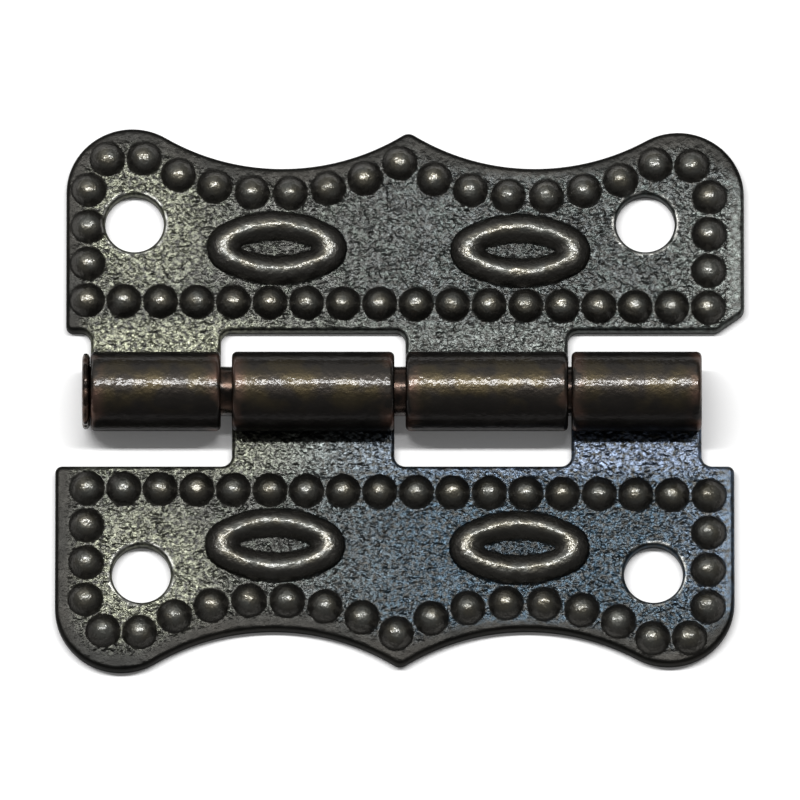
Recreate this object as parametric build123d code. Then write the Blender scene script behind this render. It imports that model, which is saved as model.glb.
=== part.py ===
from build123d import *
import math
import os

# Decorative box hinge of stamped and rolled sheet metal, lying open and flat on its back.
# Millimetres. X runs along the pin, the upper leaf is on the +Y side and the stamped faces look up.
# The origin is the middle of the hinge, on the plane of the backs of the leaves.

# Sheet and barrel
sheet = 1.1
pin_diameter = 3.8
pin_clearance = 0.05
seam_gap = 0.25
middle_gap = 0.85
inner_knuckle_length = 12.45

# Blank of a leaf, with its distances measured outward from the pin
leaf_width = 52.0
leaf_stagger = 0.4
inner_edge = 5.35
side_top = 16.25
lobe_radius = 5.05
scallop_radius = 17.5
scallop_offset = 9.7
point_radius = 0.8
slot_radius = 0.8
corner_radius = 0.5

# Screw holes
hole_diameter = 4.5
hole_setback = 6.4
hole_drop = 2.35
hole_bevel = 0.2

# Cheap tooling: how far each step landed to the right, the gap on one end of each outer knuckle
# and the distance from its other end to the side of the leaf
upper_edge_shift = 0.25
upper_stamp_shift = -0.26
upper_hole_shift = -0.77
upper_knuckle_gap = 0.85
upper_setback = 1.9
lower_edge_shift = 0.4
lower_stamp_shift = -0.07
lower_hole_shift = -0.2
lower_knuckle_gap = 0.25
lower_setback = 2.5

# Inner corner at the right of the upper leaf, which is trimmed off
trim_length = 2.1
trim_height = 1.5

# Border of beads, stamped slightly askew
stamp_tilt = -0.7
bead_diameter = 2.64
bead_height = 0.95
bead_sides = 9
bead_rings = 3
row_beads = 18
row_margin = 2.1
border_inset = 2.2
border_steps = 12

# Oval rings, each a ridge round a sunken floor
oval_offset = 9.35
floor_length = 5.4
floor_width = 1.2
floor_height = 0.1
inner_slope_run = 0.97
crest_end_width = 0.7
crest_side_width = 0.35
crest_end_radius = 1.0
crest_height = 0.9
outer_slope_run = 1.0

# Peened head of the pin
head_diameter = 5.9
head_thickness = 0.65
pin_chamfer = 0.2

# Worked out from the sizes above
bore_radius = pin_diameter / 2 + pin_clearance
barrel_radius = bore_radius + sheet
axis_height = barrel_radius
half_width = leaf_width / 2
inner_knuckle_start = middle_gap / 2
inner_knuckle_end = inner_knuckle_start + inner_knuckle_length
barrel_left = leaf_stagger - half_width + upper_setback
barrel_right = half_width - leaf_stagger - lower_setback
lobe_middle = half_width - lobe_radius
scallop_run = lobe_middle - scallop_offset
scallop_rise = math.sqrt((lobe_radius + scallop_radius) ** 2 - scallop_run ** 2)
scallop_middle = side_top + scallop_rise
hole_reach = half_width - hole_setback
hole_distance = side_top - hole_drop
row_distance = inner_edge + row_margin
border_side = half_width - border_inset
wave_low = scallop_middle - scallop_radius - border_inset
oval_distance = (row_distance + wave_low) / 2
sink = sheet / 3
tiny = 1e-6


def knuckle_spans(knuckle_gap, setback):
    """Ends of a leaf's two knuckles: an outer one on its left and an inner one on its right."""
    outer_start = leaf_stagger - half_width + setback
    outer_end = -inner_knuckle_end - knuckle_gap
    return [(outer_start, outer_end), (inner_knuckle_start, inner_knuckle_end)]


def half_edge(inset, shift):
    """Right half of the scalloped edge, moved in by inset, from its middle point to the straight side."""
    run = scallop_run - shift
    rise = math.sqrt((lobe_radius + scallop_radius) ** 2 - run ** 2)
    lean = math.degrees(math.atan2(run, rise))
    scallop = scallop_radius + inset
    first = math.degrees(math.asin(scallop_offset / scallop))
    scallop_arc = CenterArc((scallop_offset + shift, scallop_middle), scallop, 270 - first, first + lean)
    lobe_arc = CenterArc((lobe_middle, scallop_middle - rise), lobe_radius - inset, 90 + lean, -90 - lean)
    return [scallop_arc, lobe_arc]


def blank_face(edge_shift, spans):
    """Flat blank of a leaf: scalloped outline, and tabs as far as the curl."""
    right = half_edge(0, edge_shift)
    left = [mirror(arc, about=Plane.YZ) for arc in half_edge(0, -edge_shift)]
    base = Polyline(
        right[1] @ 1,
        (half_width, inner_edge),
        (-half_width, inner_edge),
        left[1] @ 1,
    )
    face = make_face(right + left + [base])
    tip = face.vertices().sort_by(lambda vertex: abs(vertex.X - edge_shift))[0]
    face = fillet(tip, point_radius)
    face = fillet(face.vertices().group_by(Axis.Y)[0], corner_radius)
    face = Pos(leaf_stagger, 0) * face
    for start, end in spans:
        reach = inner_edge + sheet
        face += Pos((start + end) / 2, reach / 2) * Rectangle(end - start, reach)
    tab_sides = [side for span in spans for side in span]
    at_edge = [vertex for vertex in face.vertices() if abs(vertex.Y - inner_edge) < tiny]
    slot_corners = [vertex for vertex in at_edge if min(abs(vertex.X - side) for side in tab_sides) < tiny]
    return fillet(slot_corners, slot_radius)


def curl(start, end):
    """Rolled knuckle, from under the pin round the far side and over the top to the seam."""
    seam = math.degrees(math.asin((sheet + seam_gap - axis_height) / barrel_radius))
    outer = CenterArc((0, axis_height), barrel_radius, seam, 270 - seam)
    inner = CenterArc((0, axis_height), bore_radius, seam, 270 - seam)
    section = make_face([outer, Line(outer @ 1, inner @ 1), inner, Line(inner @ 0, outer @ 0)])
    return extrude(Plane.YZ.offset(start) * section, end - start)


def bead():
    """Domed bead: the top of a faceted ball that is sunk into the face of the sheet."""
    half = bead_diameter / 2
    ball = (half ** 2 + bead_height ** 2) / (2 * bead_height)
    middle = sheet + bead_height - ball
    low = math.asin((sheet - sink - middle) / ball)
    turns = [2 * math.pi * k / bead_sides for k in range(bead_sides + 1)]
    tilts = [low + (math.pi / 2 - low) * k / bead_rings for k in range(bead_rings)]
    levels = [(ball * math.cos(tilt), middle + ball * math.sin(tilt)) for tilt in tilts]
    loops = [[(r * math.cos(turn), r * math.sin(turn), z) for turn in turns] for r, z in levels]
    top = (0, 0, sheet + bead_height)
    outlines = [loops[0][:-1]]
    for k in range(bead_sides):
        outlines += [[a[k], a[k + 1], b[k + 1], b[k]] for a, b in zip(loops, loops[1:])]
        outlines.append([loops[-1][k], loops[-1][k + 1], top])
    return Solid(Shell([Face(Wire.make_polygon(outline)) for outline in outlines]))


def border():
    """Places of the beads: a straight row by the pin, and even steps up the sides and along the wave."""
    row_pitch = 2 * border_side / (row_beads - 1)
    row = [(row_pitch * k - border_side, row_distance) for k in range(row_beads)]
    rim = Wire(half_edge(border_inset, 0) + [Line((border_side, side_top), (border_side, row_distance))])
    step = rim.length / border_steps
    half = [rim.position_at(step * k, PositionMode.LENGTH) for k in range(border_steps)]
    right = [(point.X, point.Y) for point in half]
    left = [(-u, v) for u, v in right[1:]]
    return row + right + left


def lens(length, width, height):
    """Pointed oval of two arcs at the given height."""
    side = ThreePointArc((-length / 2, 0), (0, width / 2), (length / 2, 0))
    return Pos(0, 0, height) * make_face([side, mirror(side, about=Plane.XZ)])


def oval(length, width, end_radius, height):
    """Oval of four tangent arcs at the given height."""
    across = length / 2 - end_radius
    half = width / 2
    side_radius = (across ** 2 + half ** 2 - end_radius ** 2) / (2 * (half - end_radius))
    drop = side_radius - half
    lean = math.degrees(math.atan2(across, drop))
    end = CenterArc((across, 0), end_radius, lean - 90, 180 - 2 * lean)
    side = CenterArc((0, -drop), side_radius, 90 - lean, 2 * lean)
    arcs = [end, side] + [mirror(mirror(arc, about=Plane.YZ), about=Plane.XZ) for arc in (end, side)]
    return Pos(0, 0, height) * make_face(arcs)


def ridge():
    """Raised oval with sloping flanks, carried down into the sheet."""
    length = floor_length + 2 * (inner_slope_run + crest_end_width)
    width = floor_width + 2 * (inner_slope_run + crest_side_width)
    run = outer_slope_run * (1 + sink / crest_height)
    foot = oval(length + 2 * run, width + 2 * run, crest_end_radius + run, sheet - sink)
    return loft([foot, oval(length, width, crest_end_radius, sheet + crest_height)], ruled=True)


def pit():
    """Pointed hollow inside a ridge with sloping walls, carried up past the crest."""
    run = inner_slope_run * (1 + sink / (crest_height - floor_height))
    mouth = lens(floor_length + 2 * run, floor_width + 2 * run, sheet + crest_height + sink)
    return loft([lens(floor_length, floor_width, sheet + floor_height), mouth], ruled=True)


def trimming():
    """Wedge that is cut off the inner corner at the right of the upper leaf."""
    side = leaf_stagger + half_width
    outline = Polyline(
        (side - trim_length, inner_edge),
        (side + sheet, inner_edge - sheet),
        (side, inner_edge + trim_height),
        close=True,
    )
    return extrude(Pos(0, 0, -sink) * make_face(outline), sheet + 2 * sink)


def screw_hole():
    """Pierced hole with a bevelled rim on the stamped face."""
    radius = hole_diameter / 2
    shaft = extrude(Pos(0, 0, -sink) * Circle(radius), sheet + bead_height + 2 * sink)
    rim = loft([
        Pos(0, 0, sheet - hole_bevel) * Circle(radius),
        Pos(0, 0, sheet + sink) * Circle(radius + hole_bevel + sink),
    ])
    return shaft + rim


def leaf(edge_shift, stamp_shift, hole_shift, knuckle_gap, setback):
    """One leaf, stamped, pierced and rolled, on the +Y side of the pin."""
    spans = knuckle_spans(knuckle_gap, setback)
    skew = Pos(stamp_shift, 0) * Rot(0, 0, stamp_tilt)
    bead_places = [skew * Pos(u, v) for u, v in border()]
    oval_places = [skew * Pos(side * oval_offset, oval_distance) for side in (-1, 1)]
    hole_places = [Pos(hole_shift + side * hole_reach, hole_distance) for side in (-1, 1)]
    raised = [(bead(), bead_places), (ridge(), oval_places)]
    sunk = [(pit(), oval_places), (screw_hole(), hole_places)]
    body = extrude(blank_face(edge_shift, spans), sheet)
    body += [curl(start, end) for start, end in spans]
    body += [place * shape for shape, places in raised for place in places]
    body -= [place * shape for shape, places in sunk for place in places]
    return body


def hinge_pin():
    """Round pin through the knuckles with a thin peened head at its left end."""
    shank = extrude(Plane.YZ.offset(barrel_left) * Circle(pin_diameter / 2), barrel_right - barrel_left)
    shank = chamfer(shank.edges().group_by(Axis.X)[-1], pin_chamfer)
    head = extrude(Plane.YZ.offset(barrel_left) * Circle(head_diameter / 2), -head_thickness)
    head = chamfer(head.edges().group_by(Axis.X)[0], pin_chamfer)
    return Pos(0, 0, axis_height) * (shank + head)


upper_leaf = leaf(upper_edge_shift, upper_stamp_shift, upper_hole_shift, upper_knuckle_gap, upper_setback)
lower_leaf = leaf(-lower_edge_shift, -lower_stamp_shift, -lower_hole_shift, lower_knuckle_gap, lower_setback)

parts = {
    "upper_leaf": upper_leaf - trimming(),
    "lower_leaf": Rot(0, 0, 180) * lower_leaf,
    "hinge_pin": hinge_pin(),
}

os.makedirs("parts", exist_ok=True)
for name, part in parts.items():
    export_step(part, f"parts/{name}.step")
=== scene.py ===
import math
from collections import namedtuple
import bpy
import numpy as np
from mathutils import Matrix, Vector
from mathutils.geometry import delaunay_2d_cdt


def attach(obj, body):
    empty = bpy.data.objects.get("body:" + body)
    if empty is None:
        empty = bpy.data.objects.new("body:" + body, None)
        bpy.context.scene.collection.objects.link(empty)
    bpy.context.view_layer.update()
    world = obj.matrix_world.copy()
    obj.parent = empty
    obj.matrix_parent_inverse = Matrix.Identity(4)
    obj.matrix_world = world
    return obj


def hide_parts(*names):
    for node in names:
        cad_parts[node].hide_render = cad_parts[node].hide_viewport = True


# Decorative box hinge of stamped and rolled sheet metal, lying open on its back.
# Sizes are in millimetres, in the frame of the solids, and meshes are scaled to metres as they are made.
# A name that ends in _fade is a range, over which something comes in or goes out smoothly.

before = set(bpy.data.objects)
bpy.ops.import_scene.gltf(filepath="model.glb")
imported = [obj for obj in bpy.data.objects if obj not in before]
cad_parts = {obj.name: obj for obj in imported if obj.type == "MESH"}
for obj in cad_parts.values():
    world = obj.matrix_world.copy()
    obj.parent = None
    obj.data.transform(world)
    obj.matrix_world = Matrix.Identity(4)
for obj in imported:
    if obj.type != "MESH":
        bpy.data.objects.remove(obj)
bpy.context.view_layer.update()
MM = 0.001

# Sheet and barrel
sheet = 1.1
pin_diameter = 3.8
pin_clearance = 0.05
seam_gap = 0.25
middle_gap = 0.85
inner_knuckle_length = 12.45

# Blank of a leaf, with its distances measured outward from the pin
leaf_width = 52.0
leaf_stagger = 0.4
inner_edge = 5.35
side_top = 16.25
lobe_radius = 5.05
scallop_radius = 17.5
scallop_offset = 9.7
point_radius = 0.8
slot_radius = 0.8
corner_radius = 0.5
curl_corner_radius = 0.45

# Screw holes
hole_diameter = 4.5
hole_setback = 6.4
hole_drop = 2.35
hole_rim = 0.3

# Cheap tooling: how far each step landed along each leaf, the gap on one end of its outer knuckle,
# the distance from the other end to the side, and the length and height of the wedge trimmed off
# its inner right corner, each leaf seen from its own side of the pin
Leaf = namedtuple("Leaf", "edge_shift stamp_shift hole_shift knuckle_gap setback trim turned")
upper = Leaf(0.25, -0.26, -0.77, 0.85, 1.9, (2.1, 1.5), False)
lower = Leaf(-0.4, 0.07, 0.2, 0.25, 2.5, (0, 0), True)

# Border of beads, stamped slightly askew
stamp_tilt = -0.7
bead_diameter = 2.64
bead_height = 0.95
row_beads = 18
row_margin = 2.1
border_inset = 2.2
border_steps = 12

# Oval rings
oval_offset = 9.35
floor_length = 5.4
floor_width = 1.2
floor_end_radius = 0.15
floor_height = 0.1
crest_length = 8.1
crest_width = 3.5
crest_end_radius = 0.8
crest_height = 0.9
foot_length = 10.74
foot_width = 5.84
foot_end_radius = 2.0

# Curves of the beads and rings, and where their smooth surface ends, as shares of a bead's radius and
# of the way across a ring, which is 0 on its floor, 1 on its crest and 2 off its foot
dome_power = 2.2
dome_fillet = 0.004
inner_wall_power = 1.7
ridge_power = 0.75
bead_foot_fade = (0.88, 1.12)
ring_floor_fade = (0, 0.1)
ring_foot_fade = (1.9, 2)

# Grain of the field, weaker by the cut edges and gone at the barrel, and dents on the beads and rings
grain_size = 0.36
grain_depth = 0.075
coarse_share = 0.65
coarse_seed = 1
fine_seed = 2
edge_grain = 0.25
edge_grain_fade = (0.6, 1.6)
tab_grain_fade = (0, 1.5)
dent_size = 0.6
dent_depth = 0.04
dent_seed = 3
dent_height_fade = (0.2, 0.7)

# Dimples on the back, behind the beads and rings
dimple_depth = 0.3
bead_dimple_fade = (0.1, 0.95)
ring_dimple_fade = (0.1, 0.9)
dimple_limit = 0.5

# Head of the pin, with a ragged edge. Points of its face are given as distances behind the face and from
# the axis, and those of its rim and of the pin's far end as distances along the pin and in from the edge
head_diameter = 5.9
head_thickness = 0.65
head_face = [(0.08, 0), (0.03, 0.8), (0, 1.6)]
head_rim = [(0.02, 0.35), (0.08, 0.12), (0.2, 0), (0.36, 0), (0.5, 0.08)]
seat_gap = 0.04
seat_inset = 0.3
shank_run = 1
far_rim = [(0.25, 0), (0.1, 0.06), (0, 0.22)]
far_face = (0.9, 0)
ragged_start = 0.2
bite_depth = 0.16
bite_size = 0.5
bite_seed = 5
bite_place = 30

# Roundness of the cut edges, on the stamped face and on the back, of the flat and of the rolled tabs
face_edge = 0.36
back_edge = 0.1
curl_face_edge = 0.14
curl_edge = 0.4
flat_fade = (0.5, 4)

# Fineness of the meshes: steps and counts, rings of points as shares of a bead's radius and of the ways
# from floor to crest and from crest to foot, and the room left between those rings, the grid and the
# edges, which round a bead is a share of its radius
loop_step = 0.16
field_step = 0.125
curl_step = 0.26
bore_step = 0.416
back_step = 0.42
corner_points = 7
least_arc_points = 4
face_turns = 6
back_turns = 5
pin_turns = 120
cap_step = 0.24
flank_step = 0.18
flank_start = 0.75
stagger_band = 0.1
bead_rings = (0, 0.14, 0.28, 0.42, 0.56, 0.68, 0.79, 0.88, 0.95, 1, 1.05, 1.12)
inner_rings = (0, 0.05, 0.15, 0.27, 0.4, 0.53, 0.66, 0.78, 0.88, 0.95)
outer_rings = (0, 0.06, 0.14, 0.24, 0.35, 0.47, 0.59, 0.7, 0.8, 0.88, 0.94, 0.98, 1, 1.07)
bead_room = 1.16
floor_room = 0.07
foot_room = 0.16
edge_room = 0.09
hole_room = 0.07
back_room = 0.1
grid_spare = 1
ring_slack = 1e-4
tiny = 1e-6
noise_cells = 512

# Painted light on each leaf: how much its tabs are lightened at the left and at the right of the hinge,
# between which places along it that changes, and how blue its right side is
LightAndTint = namedtuple("LightAndTint", "left right change blue")
upper_light_tint = LightAndTint(1, 0.25, (-15, -8), 0.3)
lower_light_tint = LightAndTint(0.55, 1, (4, 12), 1)

# Where the finish and its painted light and shade change: along the hinge, outward from the pin, from the
# middle of a hole, from a cut edge, from the end of a knuckle, and with the height of the raised forms and
# of the barrel
blue_fade = (-14, 4)
right_fade = (0, 4)
lobe_fade_reach = 3
# Painted light at the right end of the field
right_end_fade = (19, 24)
right_end_light = 0.3
# Painted light on the tabs
tab_fade = (4.5, 7.5)
barrel_fade = (-0.5, 1.5)
# Painted light round the left hole
hole_light = 0.65
hole_light_fade = (2.5, 8)
# Painted highlight: a light ring on the face round each hole, rim_line out from its edge
rim_line = 0.22
rim_line_fade = (0.03, 0.13)
# Painted shade: darker bands along the cut edges, left out on the right side below the lobes, and darker
# floors in the rings
edge_shade_fade = (0.6, 3.0)
right_shade_offset = 5
ring_floor_shade = 0.6
knuckle_end_fade = (0.2, 1.4)
# Tops that take painted light: the beads' tops, the rings' crests and the barrel's top
bead_top_fade = (0.45, 0.85)
ring_crest_fade = (0.1, 0.5)
barrel_top_fade = (4.9, 5.9)

# Colours of the plating: one, or two that it varies between
field_pits = (0.028, 0.028, 0.026, 1)
field_warm = [(0.06, 0.064, 0.053, 1), (0.056, 0.056, 0.051, 1)]
field_cool = [(0.024, 0.042, 0.059, 1), (0.029, 0.044, 0.057, 1)]
# Painted light: lighter field tones on the tabs, round the left hole and at the right end
lit_field_pits = (0.04, 0.04, 0.036, 1)
lit_field_tones = [(0.17, 0.175, 0.126, 1), (0.112, 0.142, 0.2, 1)]
# Painted shade along the cut edges and on the ring floors, in random patches
edge_shade_tones = [(0.015, 0.015, 0.014, 1), (0.021, 0.02, 0.018, 1)]
# Painted shade on the flanks of the beads and rings, painted light on their tops and crests
shaded_flank_olive = (0.062, 0.059, 0.053, 1)
lit_top_olives = [(0.112, 0.104, 0.08, 1), (0.1, 0.101, 0.09, 1)]
# Painted highlight round the holes
rim_highlight_colour = (0.32, 0.32, 0.3, 1)
# Painted shade on the sides of the barrel, painted light on its top
shaded_flank_brown = (0.02, 0.018, 0.017, 1)
lit_top_browns = [(0.026, 0.022, 0.018, 1), (0.05, 0.039, 0.02, 1)]
copper_end = (0.1, 0.058, 0.044, 1)
pin_tones = [(0.034, 0.029, 0.026, 1), (0.085, 0.056, 0.043, 1)]

# Spots in the plating: their size, the detail of their noise, and the levels it is spread between
patch_spots = (6, 3, 0.35, 0.65)
speck_spots = (0.36, 2, 0.35, 0.65)
tint_spots = (1.3, 2, 0.4, 0.6)
stain_spots = (2.2, 2, 0.45, 0.62)
pin_spots = (0.9, 3, 0.4, 0.65)

# Bumps in the materials: the size, detail and roughness of their noise, their depth and their strength
sand_bumps = (0.42, 2, 0.5)
sand_depth = 0.16
scuff_bumps = (0.4, 2, 0.6)
scuff_depth = 0.1
scuff_strengths = (0.4, 0.75)
pit_bumps = (0.5, 4, 0.5)
pit_depth = 0.05
pit_strength = 0.4

# Gloss of the plating: pairs run from flank to top, or over the spots
leaf_metallic = 0.95
field_lacquer = 0.08
raised_lacquers = (0.2, 1)
barrel_lacquers = (0.15, 0.75)
lacquer_roughness = 0.13
edge_tint = (0.5, 0.5, 0.5, 1)
smooth_roughness = (0.37, 0.45)
field_roughness = (0.36, 0.28)
pin_roughness = (0.2, 0.34)

# Floor, lamps and camera, in metres and degrees, with the floor's drop and the camera's sensor, frame
# and aim in millimetres
floor_radius = 3.0
floor_corners = 64
floor_drop = 0.02
floor_colour = (0.97, 0.97, 0.97, 1)
floor_roughness = 0.9
floor_glow = 0.05
white = (1, 1, 1, 1)
surround = 0.145
key_size = (0.4, 0.026)
key_lean = 12.0
key_turn = 0.0
key_distance = 0.33
key_aside = -0.03
key_radiance = 39.0
fill_size = (0.8, 0.7)
fill_lean = 42.0
fill_turn = 25.0
fill_distance = 0.6
fill_aside = 0.0
fill_radiance = 0.4
camera_lean = 15.0
camera_distance = 2.5
sensor_width = 36.0
frame_width = 61.3
aim_y = -0.16
clip_near = 0.05
clip_far = 10.0

# Worked out from the sizes above
bore_radius = pin_diameter / 2 + pin_clearance
barrel_radius = bore_radius + sheet
axis_height = barrel_radius
half_width = leaf_width / 2
inner_knuckle_start = middle_gap / 2
inner_knuckle_end = inner_knuckle_start + inner_knuckle_length
barrel_left = leaf_stagger - half_width + upper.setback
barrel_right = half_width - leaf_stagger - lower.setback
lobe_middle = half_width - lobe_radius
scallop_run = lobe_middle - scallop_offset
scallop_rise = math.sqrt((lobe_radius + scallop_radius) ** 2 - scallop_run ** 2)
scallop_middle = side_top + scallop_rise
scallop_lean = math.atan2(scallop_run, scallop_rise)
hole_radius = hole_diameter / 2
hole_reach = half_width - hole_setback
hole_distance = side_top - hole_drop
bead_radius = bead_diameter / 2
row_distance = inner_edge + row_margin
border_side = half_width - border_inset
wave_radius = scallop_radius + border_inset
wave_start = math.asin(scallop_offset / wave_radius)
wave_length = wave_radius * (wave_start + scallop_lean)
bend_radius = lobe_radius - border_inset
bend_length = bend_radius * (math.pi / 2 + scallop_lean)
rim_length = wave_length + bend_length + side_top - row_distance
wave_low = scallop_middle - wave_radius
oval_distance = (row_distance + wave_low) / 2
lobe_fade = (side_top - lobe_fade_reach, side_top + lobe_fade_reach)
floor_oval = (floor_length, floor_width, floor_end_radius)
crest_oval = (crest_length, crest_width, crest_end_radius)
foot_oval = (foot_length, foot_width, foot_end_radius)
seam_turn = math.asin((sheet + seam_gap - axis_height) / barrel_radius)
curl_length = barrel_radius * (math.radians(270) - seam_turn)


def smoothstep(low, high, value):
    """Rises smoothly from 0 at low to 1 at high."""
    share = np.clip((value - low) / (high - low), 0, 1)
    return share * share * (3 - 2 * share)


def lumps(u, v, size, seed):
    """Smooth noise between -1 and 1, with lumps about size wide."""
    table = np.random.default_rng(seed).uniform(-1, 1, (noise_cells, noise_cells))
    column, row = np.floor(u / size).astype(int), np.floor(v / size).astype(int)
    across = smoothstep(0, 1, u / size - column)
    along = smoothstep(0, 1, v / size - row)
    column, row, next_column, next_row = (
        cell % noise_cells for cell in (column, row, column + 1, row + 1)
    )
    near = table[column, row] * (1 - across) + table[next_column, row] * across
    far = table[column, next_row] * (1 - across) + table[next_column, next_row] * across
    return near * (1 - along) + far * along


def arc(middle, radius, start, end):
    """Points along an arc between two angles in radians."""
    count = max(least_arc_points, round(abs(end - start) * radius / loop_step) + 1)
    turns = np.linspace(start, end, count)
    return np.column_stack((middle[0] + radius * np.cos(turns), middle[1] + radius * np.sin(turns)))


def rounded_corner(before, corner, after, radius):
    """Arc that rounds the corner between two straight runs."""
    here = np.array(corner)
    back, ahead = np.array(before) - here, np.array(after) - here
    back, ahead = back / np.hypot(*back), ahead / np.hypot(*ahead)
    half = math.acos(back @ ahead) / 2
    middle = here + (back + ahead) / np.hypot(*(back + ahead)) * radius / math.sin(half)
    first, last = (here + way * radius / math.tan(half) - middle for way in (back, ahead))
    shares = np.linspace(0, 1, corner_points)[:, None]
    out = first * (1 - shares) + last * shares
    return middle + out / np.hypot(*out.T)[:, None] * radius


def even_loop(points):
    """The closed line through the points, with evenly spaced points."""
    closed = np.vstack((points, points[:1]))
    lengths = np.hypot(*np.diff(closed, axis=0).T)
    along = np.concatenate(([0], np.cumsum(lengths)))
    places = np.linspace(0, along[-1], round(along[-1] / loop_step), endpoint=False)
    return np.column_stack([np.interp(places, along, closed[:, k]) for k in (0, 1)])


def knuckle_spans(leaf):
    """Ends of a leaf's two knuckles: an outer one on its left and an inner one on its right."""
    outer_start = leaf_stagger - half_width + leaf.setback
    outer_end = -inner_knuckle_end - leaf.knuckle_gap
    return [(outer_start, outer_end), (inner_knuckle_start, inner_knuckle_end)]


def lobe_lean(shift):
    """Height of a lobe's middle where the scallops are shifted towards it, and the lean of the joint."""
    run = scallop_run - shift
    rise = math.sqrt((lobe_radius + scallop_radius) ** 2 - run ** 2)
    return scallop_middle - rise, math.atan2(run, rise)


def half_edge(shift):
    """Right half of the scalloped edge, from the straight side to the middle point."""
    lobe_height, lean = lobe_lean(shift)
    tip_reach = scallop_radius + point_radius
    tip_middle = scallop_middle - math.sqrt(tip_reach ** 2 - scallop_offset ** 2)
    tip_lean = math.asin(scallop_offset / tip_reach)
    scallop = (scallop_offset + shift, scallop_middle)
    quarter = math.pi / 2
    return np.vstack((
        arc((lobe_middle, lobe_height), lobe_radius, 0, quarter + lean),
        arc(scallop, scallop_radius, 3 * quarter + lean, 3 * quarter - tip_lean),
        arc((shift, tip_middle), point_radius, quarter - tip_lean, quarter),
    ))


def blank_loop(leaf):
    """Outline of the flat blank of a leaf, anticlockwise, with its tabs at full length before rolling."""
    right = half_edge(leaf.edge_shift)
    left = half_edge(-leaf.edge_shift)[::-1] * (-1, 1)
    top = np.vstack((right, left)) + (leaf_stagger, 0)
    corners = [(leaf_stagger - half_width, inner_edge, corner_radius)]
    for start, end in knuckle_spans(leaf):
        corners += [(start, inner_edge, slot_radius), (start, -curl_length, curl_corner_radius)]
        corners += [(end, -curl_length, curl_corner_radius), (end, inner_edge, slot_radius)]
    side = leaf_stagger + half_width
    if any(leaf.trim):
        run, rise = leaf.trim
        corners += [(side - run, inner_edge, slot_radius), (side, inner_edge + rise, slot_radius)]
    else:
        corners.append((side, inner_edge, corner_radius))
    places = [tuple(top[-1])] + [corner[:2] for corner in corners] + [tuple(top[0])]
    bottom = [
        rounded_corner(before, corner[:2], after, corner[2])
        for before, corner, after in zip(places, corners, places[2:])
    ]
    return even_loop(np.vstack([top] + bottom))


def hole_loop(middle):
    """Edge of a screw hole, clockwise, so that the sheet is on its left as on the outline."""
    return even_loop(arc(middle, hole_radius, 2 * math.pi, 0)[:-1])


def inward(loop):
    """Direction into the sheet at each point of a loop."""
    along = np.roll(loop, -1, axis=0) - np.roll(loop, 1, axis=0)
    along /= np.hypot(*along.T)[:, None]
    return np.column_stack((-along[:, 1], along[:, 0]))


def rim_point(distance):
    """Place at a distance along the right half of the bead border, from its middle point to the row."""
    if distance < wave_length:
        turn = 1.5 * math.pi - wave_start + distance / wave_radius
        across, up = math.cos(turn) * wave_radius, math.sin(turn) * wave_radius
        return (scallop_offset + across, scallop_middle + up)
    if distance < wave_length + bend_length:
        turn = math.pi / 2 + scallop_lean - (distance - wave_length) / bend_radius
        across, up = math.cos(turn) * bend_radius, math.sin(turn) * bend_radius
        return (lobe_middle + across, side_top + up)
    return (border_side, side_top - (distance - wave_length - bend_length))


def askew(places):
    """Places turned with the stamping, which is slightly askew."""
    turn = math.radians(stamp_tilt)
    spin = np.array(((math.cos(turn), math.sin(turn)), (-math.sin(turn), math.cos(turn))))
    return np.array(places) @ spin


def bead_places(leaf):
    """Middles of the beads: a straight row by the pin, and even steps up the sides and along the wave."""
    pitch = 2 * border_side / (row_beads - 1)
    row = [(pitch * k - border_side, row_distance) for k in range(row_beads)]
    step = rim_length / border_steps
    right = [rim_point(step * k) for k in range(border_steps)]
    left = [(-u, v) for u, v in right[1:]]
    return askew(row + right + left) + (leaf.stamp_shift, 0)


def oval_places(leaf):
    """Middles of the two oval rings."""
    return askew([(side * oval_offset, oval_distance) for side in (-1, 1)]) + (leaf.stamp_shift, 0)


def oval_shape(length, width, end_radius):
    """Half-length to the end arcs of an oval, radius of its long sides and their centre's drop."""
    across = length / 2 - end_radius
    half = width / 2
    side_radius = (across ** 2 + half ** 2 - end_radius ** 2) / (2 * (half - end_radius))
    return across, side_radius, side_radius - half


def outside_oval(points, middle, size):
    """How far each point lies outside an oval round middle."""
    across, side_radius, drop = oval_shape(*size)
    turn = math.radians(stamp_tilt)
    local = points - middle
    u = np.abs(local[:, 0] * math.cos(turn) + local[:, 1] * math.sin(turn))
    v = np.abs(local[:, 1] * math.cos(turn) - local[:, 0] * math.sin(turn))
    at_end = across * (v + drop) < drop * u
    end = np.hypot(u - across, v) - size[2]
    side = np.hypot(u, v + drop) - side_radius
    return np.where(at_end, end, side)


def oval_ring(middle, size):
    """Points round an oval."""
    across, side_radius, drop = oval_shape(*size)
    lean = math.atan2(across, drop)
    quarter = math.pi / 2
    end = arc((across, 0), size[2], lean - quarter, quarter - lean)
    side = arc((0, -drop), side_radius, quarter - lean, quarter + lean)
    half = np.vstack((end[1:], side[1:]))
    return askew(np.vstack((half, -half))) + middle


def between(first, second, share):
    """Oval part of the way from one to another."""
    return [a + (b - a) * share for a, b in zip(first, second)]


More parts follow.
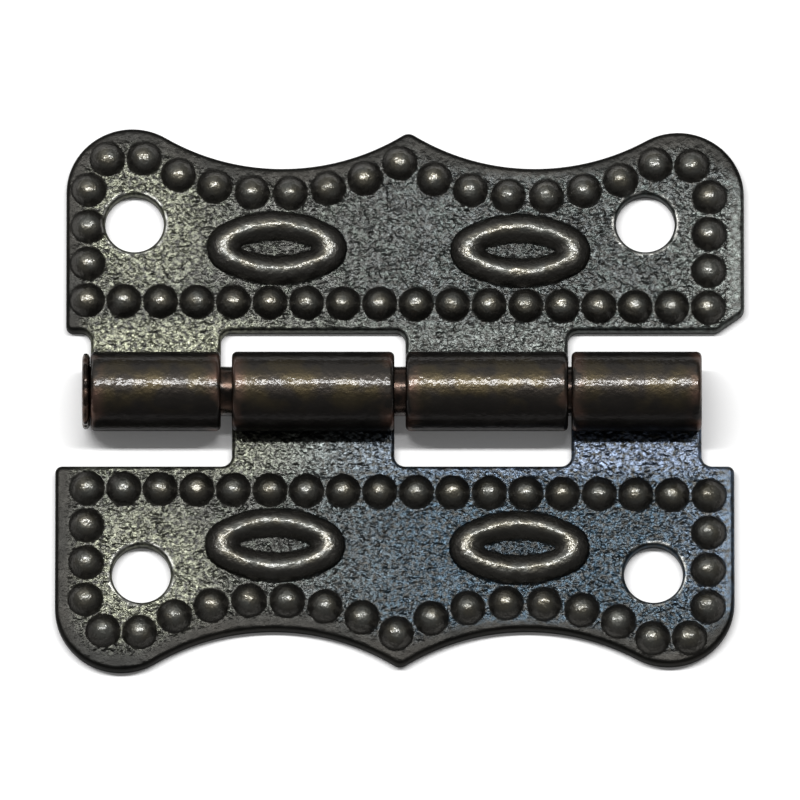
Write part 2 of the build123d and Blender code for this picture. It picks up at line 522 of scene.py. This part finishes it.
def edge_distance(points, leaf):
    """How far each point lies inside the sides and the scalloped edge of a leaf."""
    across = points[:, 0] - leaf_stagger
    v = points[:, 1]
    inside = half_width - np.abs(across)
    for side in (-1, 1):
        u = side * across
        shift = side * leaf.edge_shift
        lobe_height, lean = lobe_lean(shift)
        scallop = np.hypot(u - scallop_offset - shift, v - scallop_middle) - scallop_radius
        lobe = lobe_radius - np.hypot(u - lobe_middle, v - lobe_height)
        on_lobe = (v > lobe_height) & (u > lobe_middle - (v - lobe_height) * math.tan(lean))
        inside = np.where(u >= shift, np.where(on_lobe, lobe, np.minimum(scallop, inside)), inside)
    return inside


def on_sheet(points, leaf, margin):
    """Which points lie on the blank, at least margin inside its edges."""
    u, v = points.T
    inside = (edge_distance(points, leaf) > margin) & (v > inner_edge + margin)
    run, rise = leaf.trim
    off_trim = (v - inner_edge) * run - (u - leaf_stagger - half_width + run) * rise
    inside &= off_trim >= margin * math.hypot(run, rise)
    for start, end in knuckle_spans(leaf):
        across = (u > start + margin) & (u < end - margin)
        inside |= across & (v > margin - curl_length) & (v < inner_edge + 2 * margin)
    return inside


def staggered_grid(step, low, high):
    """Points of a triangular grid between two values of v."""
    rows = np.arange(low, high, step * math.sqrt(0.75))
    columns = np.arange(-half_width - grid_spare, half_width + grid_spare, step)
    u, v = np.meshgrid(columns, rows)
    u = u + (np.arange(len(rows)) % 2)[:, None] * step / 2
    return np.column_stack((u.ravel(), v.ravel()))


def nearest(points, places):
    """Distance from each point to the nearest of the places."""
    return np.min(np.hypot(*(points[:, None] - places[None]).transpose(2, 0, 1)), axis=1)


def dome(distance, radius, height):
    """Height of a domed bead at a distance from its middle, with a small fillet round its foot."""
    share = distance / radius
    cap = height * np.where(share < 1, 1 - share ** dome_power, dome_power * (1 - share))
    return (cap + np.sqrt(cap ** 2 + dome_fillet)) / 2


def ring_share(points, middle):
    """How far each point is across an oval ring: 0 on its floor, 1 on its crest and 2 off its foot."""
    off_floor = np.maximum(outside_oval(points, middle, floor_oval), 0)
    off_crest = outside_oval(points, middle, crest_oval)
    in_foot = np.maximum(-outside_oval(points, middle, foot_oval), 0)
    climb = off_floor / np.maximum(off_floor - off_crest, tiny)
    fall = 1 + off_crest / np.maximum(off_crest + in_foot, tiny)
    return np.where(off_crest < 0, climb, fall)


def ring_profile(share):
    """Height of an oval ring: a sunken floor, a sloping inner wall and a rounded ridge."""
    rise = np.clip(1 - share, 0, 1)
    fall = np.clip(share - 1, 0, 1)
    inner = floor_height + (crest_height - floor_height) * (1 - rise ** inner_wall_power)
    outer = crest_height * (1 - fall ** 2) ** ridge_power
    return np.where(share < 1, inner, outer)


def surface(points, leaf, beads, ovals):
    """Height of the stamped face at each point, how smooth its raised form is, and how grainy it is."""
    flat = points[:, 1] > 0
    to_bead = nearest(points, beads)
    height = np.where(flat, dome(to_bead, bead_radius, bead_height), 0)
    smooth = 1 - smoothstep(*bead_foot_fade, to_bead / bead_radius)
    for middle in ovals:
        share = ring_share(points, middle)
        height = np.where(share < 2, ring_profile(share), height)
        ring = smoothstep(*ring_floor_fade, share) * (1 - smoothstep(*ring_foot_fade, share))
        smooth = np.maximum(smooth, ring)
    smooth = np.where(flat, smooth, 0)
    inside = smoothstep(*edge_grain_fade, edge_distance(points, leaf))
    rough = (1 - smooth) * (edge_grain + (1 - edge_grain) * inside)
    rough *= smoothstep(*tab_grain_fade, points[:, 1])
    u, v = points.T
    coarse = lumps(u, v, grain_size, coarse_seed)
    fine = lumps(u, v, grain_size / 2, fine_seed)
    grain = coarse_share * coarse + (1 - coarse_share) * fine
    dents = dent_depth * lumps(u, v, dent_size, dent_seed) * smooth * smoothstep(*dent_height_fade, height)
    return sheet + height + grain_depth * grain * rough + dents, smooth, rough


def back_relief(points, beads, ovals):
    """Height of the back: flat, with a shallow dimple behind each bead and ring, and a plain barrel."""
    depth = dimple_depth * (1 - smoothstep(*bead_dimple_fade, nearest(points, beads)))
    for middle in ovals:
        from_crest = np.abs(ring_share(points, middle) - 1)
        depth += dimple_depth * (1 - smoothstep(*ring_dimple_fade, from_crest))
    return np.where(points[:, 1] > dimple_limit, depth, 0)


def raised_points(beads, ovals):
    """Rings of points on the beads and on the oval rings."""
    rings = []
    for radius in bead_radius * np.array(bead_rings):
        step = flank_step if radius > flank_start * bead_radius else cap_step
        count = max(1, round(2 * math.pi * radius / step))
        stagger = 0.5 * (round(radius / stagger_band) % 2)
        turns = 2 * math.pi * (np.arange(count) + stagger) / count
        for middle in beads:
            ring = middle + radius * np.column_stack((np.cos(turns), np.sin(turns)))
            rings.append(ring[nearest(ring, beads) > radius - ring_slack])
    for middle in ovals:
        rings += [oval_ring(middle, between(floor_oval, crest_oval, share)) for share in inner_rings]
        rings += [oval_ring(middle, between(crest_oval, foot_oval, share)) for share in outer_rings]
    return np.vstack(rings)


def face_points(leaf, beads, ovals, holes):
    """Points inside the stamped face: rings on the raised forms, and a grid over the rest."""
    grid = staggered_grid(field_step, 0, scallop_middle)
    grid = grid[nearest(grid, beads) > bead_radius * bead_room]
    for middle in ovals:
        on_floor = outside_oval(grid, middle, floor_oval) < -floor_room
        grid = grid[on_floor | (outside_oval(grid, middle, foot_oval) > foot_room)]
    bore = staggered_grid(bore_step, -curl_length, 0)
    points = np.vstack((raised_points(beads, ovals), grid, bore))
    points = points[on_sheet(points, leaf, face_edge + edge_room)]
    return points[nearest(points, holes) > hole_radius + hole_rim + hole_room]


def back_points(leaf, holes):
    """Points inside the back of the sheet: a grid over the flat, and a finer one over the barrel."""
    flat = staggered_grid(back_step, 0, scallop_middle)
    barrel = staggered_grid(curl_step, -curl_length, 0)
    points = np.vstack((flat, barrel))
    points = points[on_sheet(points, leaf, curl_edge + back_room)]
    return points[nearest(points, holes) > hole_radius + back_edge + back_room]


def triangles(points, loops):
    """Triangles that join the points inside the loops, given as runs of point numbers."""
    edges = []
    for start, count in loops:
        edges += [(start + k, start + (k + 1) % count) for k in range(count)]
    vectors = [Vector(point) for point in points.tolist()]
    filled = delaunay_2d_cdt(vectors, edges, [], 1, tiny)
    source = [origin[0] for origin in filled[3]]
    faces = [[source[corner] for corner in face] for face in filled[2]]
    for start, count in loops[1:]:
        faces = [face for face in faces if min(face) < start or max(face) >= start + count]
    return faces


def edge_profile(points, on_hole):
    """Inset and height of each ring from the stamped face round the cut edge to the back."""
    rolled = 1 - smoothstep(*flat_fade, points[:, 1])
    front = face_edge + (curl_face_edge - face_edge) * rolled
    if on_hole:
        front = np.full(len(points), hole_rim)
    back = back_edge + (curl_edge - back_edge) * rolled
    rings = []
    for turn in np.linspace(0, math.pi / 2, face_turns):
        rings.append((front * (1 - math.sin(turn)), sheet - front * (1 - math.cos(turn))))
    for turn in np.linspace(0, math.pi / 2, back_turns):
        rings.append((back * (1 - math.cos(turn)), back * (1 - math.sin(turn))))
    return rings


def edge_rings(edges):
    """Rings of points round the cut edges, from the stamped face to the back, each with its heights."""
    outline = np.vstack([loop for loop, on_hole in edges])
    into = np.vstack([inward(loop) for loop, on_hole in edges])
    rings = []
    for parts in zip(*[edge_profile(loop, on_hole) for loop, on_hole in edges]):
        inset = np.concatenate([part[0] for part in parts])
        height = np.concatenate([part[1] for part in parts])
        rings.append((outline + into * inset[:, None], height))
    return rings


def rolled_up(points, heights):
    """Places in space of points on the blank: the tabs curl round the pin, the rest lies flat."""
    u, v = points.T
    turn = np.maximum(-v, 0) / barrel_radius
    reach = barrel_radius - heights
    y = np.where(v < 0, -reach * np.sin(turn), v)
    z = np.where(v < 0, axis_height - reach * np.cos(turn), heights)
    return np.column_stack((u, y, z))


def stitched(first, second, loops):
    """Quads between two rings of point numbers that follow the same loops."""
    quads = []
    for start, count in loops:
        for k in range(count):
            near, far = start + k, start + (k + 1) % count
            quads.append([first + near, second + near, second + far, first + far])
    return quads


def make_piece(name, places, faces, masks, body, node, material):
    """A smooth mesh piece with its masks, riding on a body in place of a CAD node."""
    mesh = bpy.data.meshes.new(name)
    mesh.from_pydata((places * MM).tolist(), [], faces)
    for mask, values in masks.items():
        mesh.attributes.new(mask, "FLOAT", "POINT").data.foreach_set("value", values)
    mesh.validate()
    mesh.shade_smooth()
    piece = bpy.data.objects.new(name, mesh)
    bpy.context.scene.collection.objects.link(piece)
    mesh.materials.append(material)
    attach(piece, body)
    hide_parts(node)


def worn_face(leaf, light_tint, points, holes, along, on_right):
    """How much painted light lightens the field: on the tabs, round the left hole and at the right end."""
    tabs = 1 - smoothstep(*tab_fade, points[:, 1])
    tabs *= light_tint.left + (light_tint.right - light_tint.left) * smoothstep(*light_tint.change, along)
    left_hole = holes[1:] if leaf.turned else holes[:1]
    round_hole = hole_light * (1 - smoothstep(*hole_light_fade, nearest(points, left_hole)))
    right_end = right_end_light * smoothstep(*right_end_fade, along) * on_right
    return np.maximum.reduce((tabs, round_hole, right_end))


def leaf_masks(leaf, light_tint, points, places, heights, ovals, holes):
    """Where the finish of a leaf changes, at each of its points on the blank and in space."""
    along, away, up = places[:, 0], points[:, 1], places[:, 2]
    on_right = smoothstep(*right_fade, along) * (1 - smoothstep(*lobe_fade, away))
    # Painted shade: the margin mask falls to 0 along the cut edges, except on the right side below the lobes
    margin = smoothstep(*edge_shade_fade, edge_distance(points, leaf) + right_shade_offset * on_right)
    # Painted light: the tops of the beads, the crests of the rings and the top of the barrel are lighter and
    # glossier
    rubbed = smoothstep(*bead_top_fade, heights - sheet)
    for middle in ovals:
        share = ring_share(points, middle)
        crest = 1 - smoothstep(*ring_crest_fade, np.abs(share - 1))
        rubbed = np.where(share < 2, crest, rubbed)
        # Painted shade on the sunken floors of the rings
        margin = np.where(share < 1, ring_floor_shade * margin, margin)
    ends = np.array([[end] for span in knuckle_spans(leaf) for end in span])
    from_end = np.min(np.abs(points[:, 0] - ends), axis=0)
    # Painted highlight on a thin ring round each hole
    from_rim_line = np.abs(nearest(points, holes) - hole_radius - rim_line)
    return {
        "barrel": 1 - smoothstep(*barrel_fade, away),
        "margin": margin,
        # Painted light on the top of the barrel
        "rubbed": np.where(away < 0, smoothstep(*barrel_top_fade, up), rubbed),
        "worn_end": 1 - smoothstep(*knuckle_end_fade, from_end),
        "worn_face": worn_face(leaf, light_tint, points, holes, along, on_right),
        "worn_rim": 1 - smoothstep(*rim_line_fade, from_rim_line),
        "bluish": light_tint.blue * smoothstep(*blue_fade, along),
    }


def make_leaf(name, node, body, leaf, light_tint, material):
    """One leaf as a single stamped, pierced and rolled sheet."""
    beads, ovals = bead_places(leaf), oval_places(leaf)
    holes = np.array([(leaf.hole_shift + side * hole_reach, hole_distance) for side in (-1, 1)])
    edges = [(blank_loop(leaf), False)] + [(hole_loop(middle), True) for middle in holes]
    counts = [len(loop) for loop, on_hole in edges]
    loops = [(sum(counts[:k]), count) for k, count in enumerate(counts)]
    rings = edge_rings(edges)
    walls = rings[1:-1]
    front = np.vstack((rings[0][0], face_points(leaf, beads, ovals, holes)))
    back = np.vstack((rings[-1][0], back_points(leaf, holes)))
    face_heights, smooth, rough = surface(front, leaf, beads, ovals)
    wall_heights = [height for ring, height in walls]
    points = np.vstack([front] + [ring for ring, height in walls] + [back])
    heights = np.concatenate([face_heights] + wall_heights + [back_relief(back, beads, ovals)])
    places = rolled_up(points, heights)
    if leaf.turned:
        places = places * (-1, -1, 1)
    firsts = [0] + [len(front) + k * sum(counts) for k in range(len(walls) + 1)]
    faces = triangles(front, loops)
    for first, second in zip(firsts, firsts[1:]):
        faces += stitched(first, second, loops)
    faces += [[firsts[-1] + corner for corner in reversed(face)] for face in triangles(back, loops)]
    unstamped = np.zeros(len(points) - len(front))
    masks = leaf_masks(leaf, light_tint, points, places, heights, ovals, holes)
    masks["raised"] = np.concatenate((smooth, unstamped))
    masks["grainy"] = np.concatenate((rough, unstamped))
    make_piece(name, places, faces, masks, body, node, material)


def pin_stations():
    """Places along the pin and radii of its rings of points, from the head's face to the far end."""
    head, shank = head_diameter / 2, pin_diameter / 2
    start = barrel_left - head_thickness
    seat = barrel_left - seat_gap
    stations = [(start + behind, radius) for behind, radius in head_face]
    stations += [(start + behind, head - inset) for behind, inset in head_rim]
    stations += [(seat, head - seat_inset), (seat, shank)]
    stations += [(barrel_left + shank_run, shank), (barrel_right - shank_run, shank)]
    stations += [(barrel_right - before, shank - inset) for before, inset in far_rim]
    return stations + [(barrel_right, radius) for radius in far_face]


def make_pin(name, node, body, material):
    """Pin through the knuckles, with a thin peened head whose edge is ragged."""
    head = head_diameter / 2
    stations = pin_stations()
    count = pin_turns
    turns = 2 * math.pi * np.arange(count) / count
    around = head * np.column_stack((np.cos(turns), np.sin(turns))) + bite_place
    bites = bite_depth * np.abs(lumps(*around.T, bite_size, bite_seed))
    rings = []
    for x, radius in stations:
        ragged = smoothstep(pin_diameter / 2 + ragged_start, head, radius)
        reach = np.maximum(radius - bites * ragged, 0)
        ring = np.column_stack((
            np.full(count, x), reach * np.cos(turns), axis_height + reach * np.sin(turns)
        ))
        rings.append(ring if radius else ring[:1])
    places = np.vstack(rings)
    faces = [[0, 1 + (k + 1) % count, 1 + k] for k in range(count)]
    for ring in range(len(stations) - 3):
        first = 1 + ring * count
        for k in range(count):
            after = (k + 1) % count
            faces.append([first + k, first + after, first + count + after, first + count + k])
    last = len(places) - 1
    faces += [[last, last - count + k, last - count + (k + 1) % count] for k in range(count)]
    make_piece(name, places, faces, {}, body, node, material)


def add_node(tree, kind, settings=None, **inputs):
    """A shader node with its settings, and with its inputs set or linked by name, or by number after a _."""
    node = tree.nodes.new(kind)
    for setting, value in (settings or {}).items():
        setattr(node, setting, value)
    for key, value in inputs.items():
        socket = node.inputs[int(key[1:])] if key[0] == "_" else node.inputs[key.replace("_", " ")]
        if isinstance(value, bpy.types.NodeSocket):
            tree.links.new(value, socket)
        else:
            socket.default_value = value
    return node


def mask(tree, name):
    """A mask that the mesh carries."""
    return add_node(tree, "ShaderNodeAttribute", {"attribute_name": name}).outputs["Fac"]


def noise(tree, place, size, detail, roughness=0.5):
    """Noise whose lumps are about size millimetres wide."""
    return add_node(
        tree, "ShaderNodeTexNoise", Vector=place, Scale=1 / (size * MM), Detail=detail, Roughness=roughness
    ).outputs["Fac"]


def spots(tree, place, size, detail, low, high):
    """Noise whose values between low and high are spread over 0 to 1."""
    return add_node(
        tree, "ShaderNodeMapRange", {"clamp": True},
        Value=noise(tree, place, size, detail), From_Min=low, From_Max=high,
    ).outputs["Result"]


def mix_colour(tree, factor, first, second):
    """Colour between two colours."""
    return add_node(
        tree, "ShaderNodeMix", {"data_type": "RGBA"}, _0=factor, _6=first, _7=second
    ).outputs[2]


def mix_value(tree, factor, first, second):
    """Value between two values."""
    return add_node(
        tree, "ShaderNodeMix", {"data_type": "FLOAT"}, _0=factor, _2=first, _3=second
    ).outputs[0]


def times(tree, first, second):
    """Product of two values."""
    return add_node(tree, "ShaderNodeMath", {"operation": "MULTIPLY"}, _0=first, _1=second).outputs[0]


def new_material(name):
    """An empty material, its node tree, its shader and the place of a point on the piece."""
    material = bpy.data.materials.new(name)
    material.use_nodes = True
    tree = material.node_tree
    shader = tree.nodes["Principled BSDF"]
    place = tree.nodes.new("ShaderNodeTexCoord").outputs["Object"]
    return material, tree, shader, place


def leaf_colour(tree, place, at, tint, specks):
    """Colour of a leaf: speckled field with painted light over parts of it, painted shade along the edges
    and on the ring floors, olive forms and brown barrel with painted light on their tops, and a painted
    highlight round the holes.
    """
    patches = spots(tree, place, *patch_spots)
    stain = spots(tree, place, *stain_spots)
    warm = mix_colour(tree, tint, *field_warm)
    cool = mix_colour(tree, tint, *field_cool)
    bright = mix_colour(tree, at["bluish"], warm, cool)
    field = mix_colour(tree, specks, field_pits, bright)
    # Painted light on the field
    lit_speckled = mix_colour(tree, specks, lit_field_pits, mix_colour(tree, at["bluish"], *lit_field_tones))
    field = mix_colour(tree, at["worn_face"], field, lit_speckled)
    # Painted shade along the cut edges and on the ring floors
    plain = mix_colour(tree, at["margin"], mix_colour(tree, patches, *edge_shade_tones), field)
    # Painted shade on the flanks, painted light on the tops and crests
    olive = mix_colour(tree, at["rubbed"], shaded_flank_olive, mix_colour(tree, tint, *lit_top_olives))
    formed = mix_colour(tree, at["raised"], plain, olive)
    # Painted highlight round the holes, broken up by the tint
    formed = mix_colour(tree, times(tree, at["worn_rim"], tint), formed, rim_highlight_colour)
    # Painted shade on the barrel's sides, painted light on its top
    brown = mix_colour(tree, at["rubbed"], shaded_flank_brown, mix_colour(tree, stain, *lit_top_browns))
    rolled = mix_colour(tree, times(tree, stain, at["worn_end"]), brown, copper_end)
    return mix_colour(tree, at["barrel"], formed, rolled)


def leaf_bumps(tree, place, at):
    """Sand-like bumps on the grainy field, and scuffs all over."""
    sand = noise(tree, place, *sand_bumps)
    sanded = add_node(tree, "ShaderNodeBump", Strength=at["grainy"], Distance=sand_depth * MM, Height=sand)
    scuffs = noise(tree, place, *scuff_bumps)
    strength = mix_value(tree, at["raised"], *scuff_strengths)
    return add_node(
        tree, "ShaderNodeBump", Strength=strength, Distance=scuff_depth * MM, Height=scuffs,
        Normal=sanded.outputs[0],
    ).outputs[0]


def leaf_plating():
    """Dark antique bronze plating: smooth beads and barrel, sand-like field and a duller margin with painted
    shade.
    """
    material, tree, shader, place = new_material("leaf_plating")
    names = "raised grainy barrel margin rubbed worn_end worn_face worn_rim bluish".split()
    at = {name: mask(tree, name) for name in names}
    tint = spots(tree, place, *tint_spots)
    specks = spots(tree, place, *speck_spots)
    tree.links.new(leaf_colour(tree, place, at, tint, specks), shader.inputs["Base Color"])
    shader.inputs["Metallic"].default_value = leaf_metallic
    raised_lacquer = mix_value(tree, at["rubbed"], *raised_lacquers)
    barrel_lacquer = mix_value(tree, at["rubbed"], *barrel_lacquers)
    lacquer = mix_value(tree, at["raised"], times(tree, at["margin"], field_lacquer), raised_lacquer)
    tree.links.new(mix_value(tree, at["barrel"], lacquer, barrel_lacquer), shader.inputs["Coat Weight"])
    shader.inputs["Coat Roughness"].default_value = lacquer_roughness
    shader.inputs["Specular Tint"].default_value = edge_tint
    polish = mix_value(tree, tint, *smooth_roughness)
    matt = mix_value(tree, specks, *field_roughness)
    tree.links.new(mix_value(tree, at["grainy"], polish, matt), shader.inputs["Roughness"])
    bumps = leaf_bumps(tree, place, at)
    for socket in ("Normal", "Coat Normal"):
        tree.links.new(bumps, shader.inputs[socket])
    return material


def pin_plating():
    """Plating of the pin: dark brown, with coppery patches and fine pits."""
    material, tree, shader, place = new_material("pin_plating")
    patches = spots(tree, place, *pin_spots)
    tree.links.new(mix_colour(tree, patches, *pin_tones), shader.inputs["Base Color"])
    shader.inputs["Metallic"].default_value = 1.0
    tree.links.new(mix_value(tree, patches, *pin_roughness), shader.inputs["Roughness"])
    pits = noise(tree, place, *pit_bumps)
    bump = add_node(tree, "ShaderNodeBump", Strength=pit_strength, Distance=pit_depth * MM, Height=pits)
    tree.links.new(bump.outputs[0], shader.inputs["Normal"])
    return material


def make_floor():
    """White floor that stays white to the camera and keeps the shadow."""
    turns = 2 * math.pi * np.arange(floor_corners) / floor_corners
    corners = [(floor_radius * math.cos(turn), floor_radius * math.sin(turn), 0) for turn in turns]
    mesh = bpy.data.meshes.new("floor")
    mesh.from_pydata(corners, [], [list(range(floor_corners))])
    floor = bpy.data.objects.new("floor", mesh)
    bpy.context.scene.collection.objects.link(floor)
    floor.location.z = -floor_drop * MM
    material, tree, shader, place = new_material("floor_white")
    shader.inputs["Base Color"].default_value = floor_colour
    shader.inputs["Roughness"].default_value = floor_roughness
    shader.inputs["Specular IOR Level"].default_value = 0.0
    shader.inputs["Emission Color"].default_value = white
    path = tree.nodes.new("ShaderNodeLightPath")
    seen = path.outputs["Is Camera Ray"]
    for ray in ("Is Glossy Ray", "Is Transmission Ray"):
        seen = add_node(
            tree, "ShaderNodeMath", {"operation": "MAXIMUM"}, _0=seen, _1=path.outputs[ray]
        ).outputs[0]
    tree.links.new(times(tree, seen, floor_glow), shader.inputs["Emission Strength"])
    mesh.materials.append(material)


def make_lamp(name, size, lean, turn, distance, aside, radiance):
    """A soft lamp, lean degrees from overhead on the far side, turned round and moved aside."""
    lamp = bpy.data.lights.new(name, "AREA")
    lamp.shape = "RECTANGLE"
    lamp.size, lamp.size_y = size
    lamp.energy = radiance * math.pi * size[0] * size[1]
    holder = bpy.data.objects.new(name, lamp)
    bpy.context.scene.collection.objects.link(holder)
    lean, turn = math.radians(lean), math.radians(turn)
    towards = Vector((-math.sin(turn) * math.sin(lean), math.cos(turn) * math.sin(lean), math.cos(lean)))
    holder.location = towards * distance + Vector((aside, 0, 0))
    holder.rotation_euler = (-lean, 0, turn)
    holder.visible_camera = False


def make_surround():
    """A dim even surround."""
    world = bpy.context.scene.world or bpy.data.worlds.new("surround")
    bpy.context.scene.world = world
    world.use_nodes = True
    background = world.node_tree.nodes["Background"]
    background.inputs["Color"].default_value = white
    background.inputs["Strength"].default_value = surround


def make_camera():
    """Camera above the hinge, leaning a little towards the near leaf, with a long lens."""
    data = bpy.data.cameras.new("camera")
    camera = bpy.data.objects.new("camera", data)
    bpy.context.scene.collection.objects.link(camera)
    lean = math.radians(camera_lean)
    aim = Vector((0, aim_y, sheet)) * MM
    camera.location = aim + Vector((0, -math.sin(lean), math.cos(lean))) * camera_distance
    camera.rotation_euler = (lean, 0, 0)
    data.sensor_width = sensor_width
    data.lens = sensor_width * camera_distance / (frame_width * MM)
    data.clip_start = clip_near
    data.clip_end = clip_far
    bpy.context.scene.camera = camera


bpy.context.scene.view_settings.view_transform = "Standard"
plating = leaf_plating()
make_leaf("upper_leaf_sheet", "upper_leaf", "upper_side", upper, upper_light_tint, plating)
make_leaf("lower_leaf_sheet", "lower_leaf", "lower_side", lower, lower_light_tint, plating)
make_pin("peened_pin", "hinge_pin", "upper_side", pin_plating())
make_floor()
make_lamp("key", key_size, key_lean, key_turn, key_distance, key_aside, key_radiance)
make_lamp("fill", fill_size, fill_lean, fill_turn, fill_distance, fill_aside, fill_radiance)
make_surround()
make_camera()
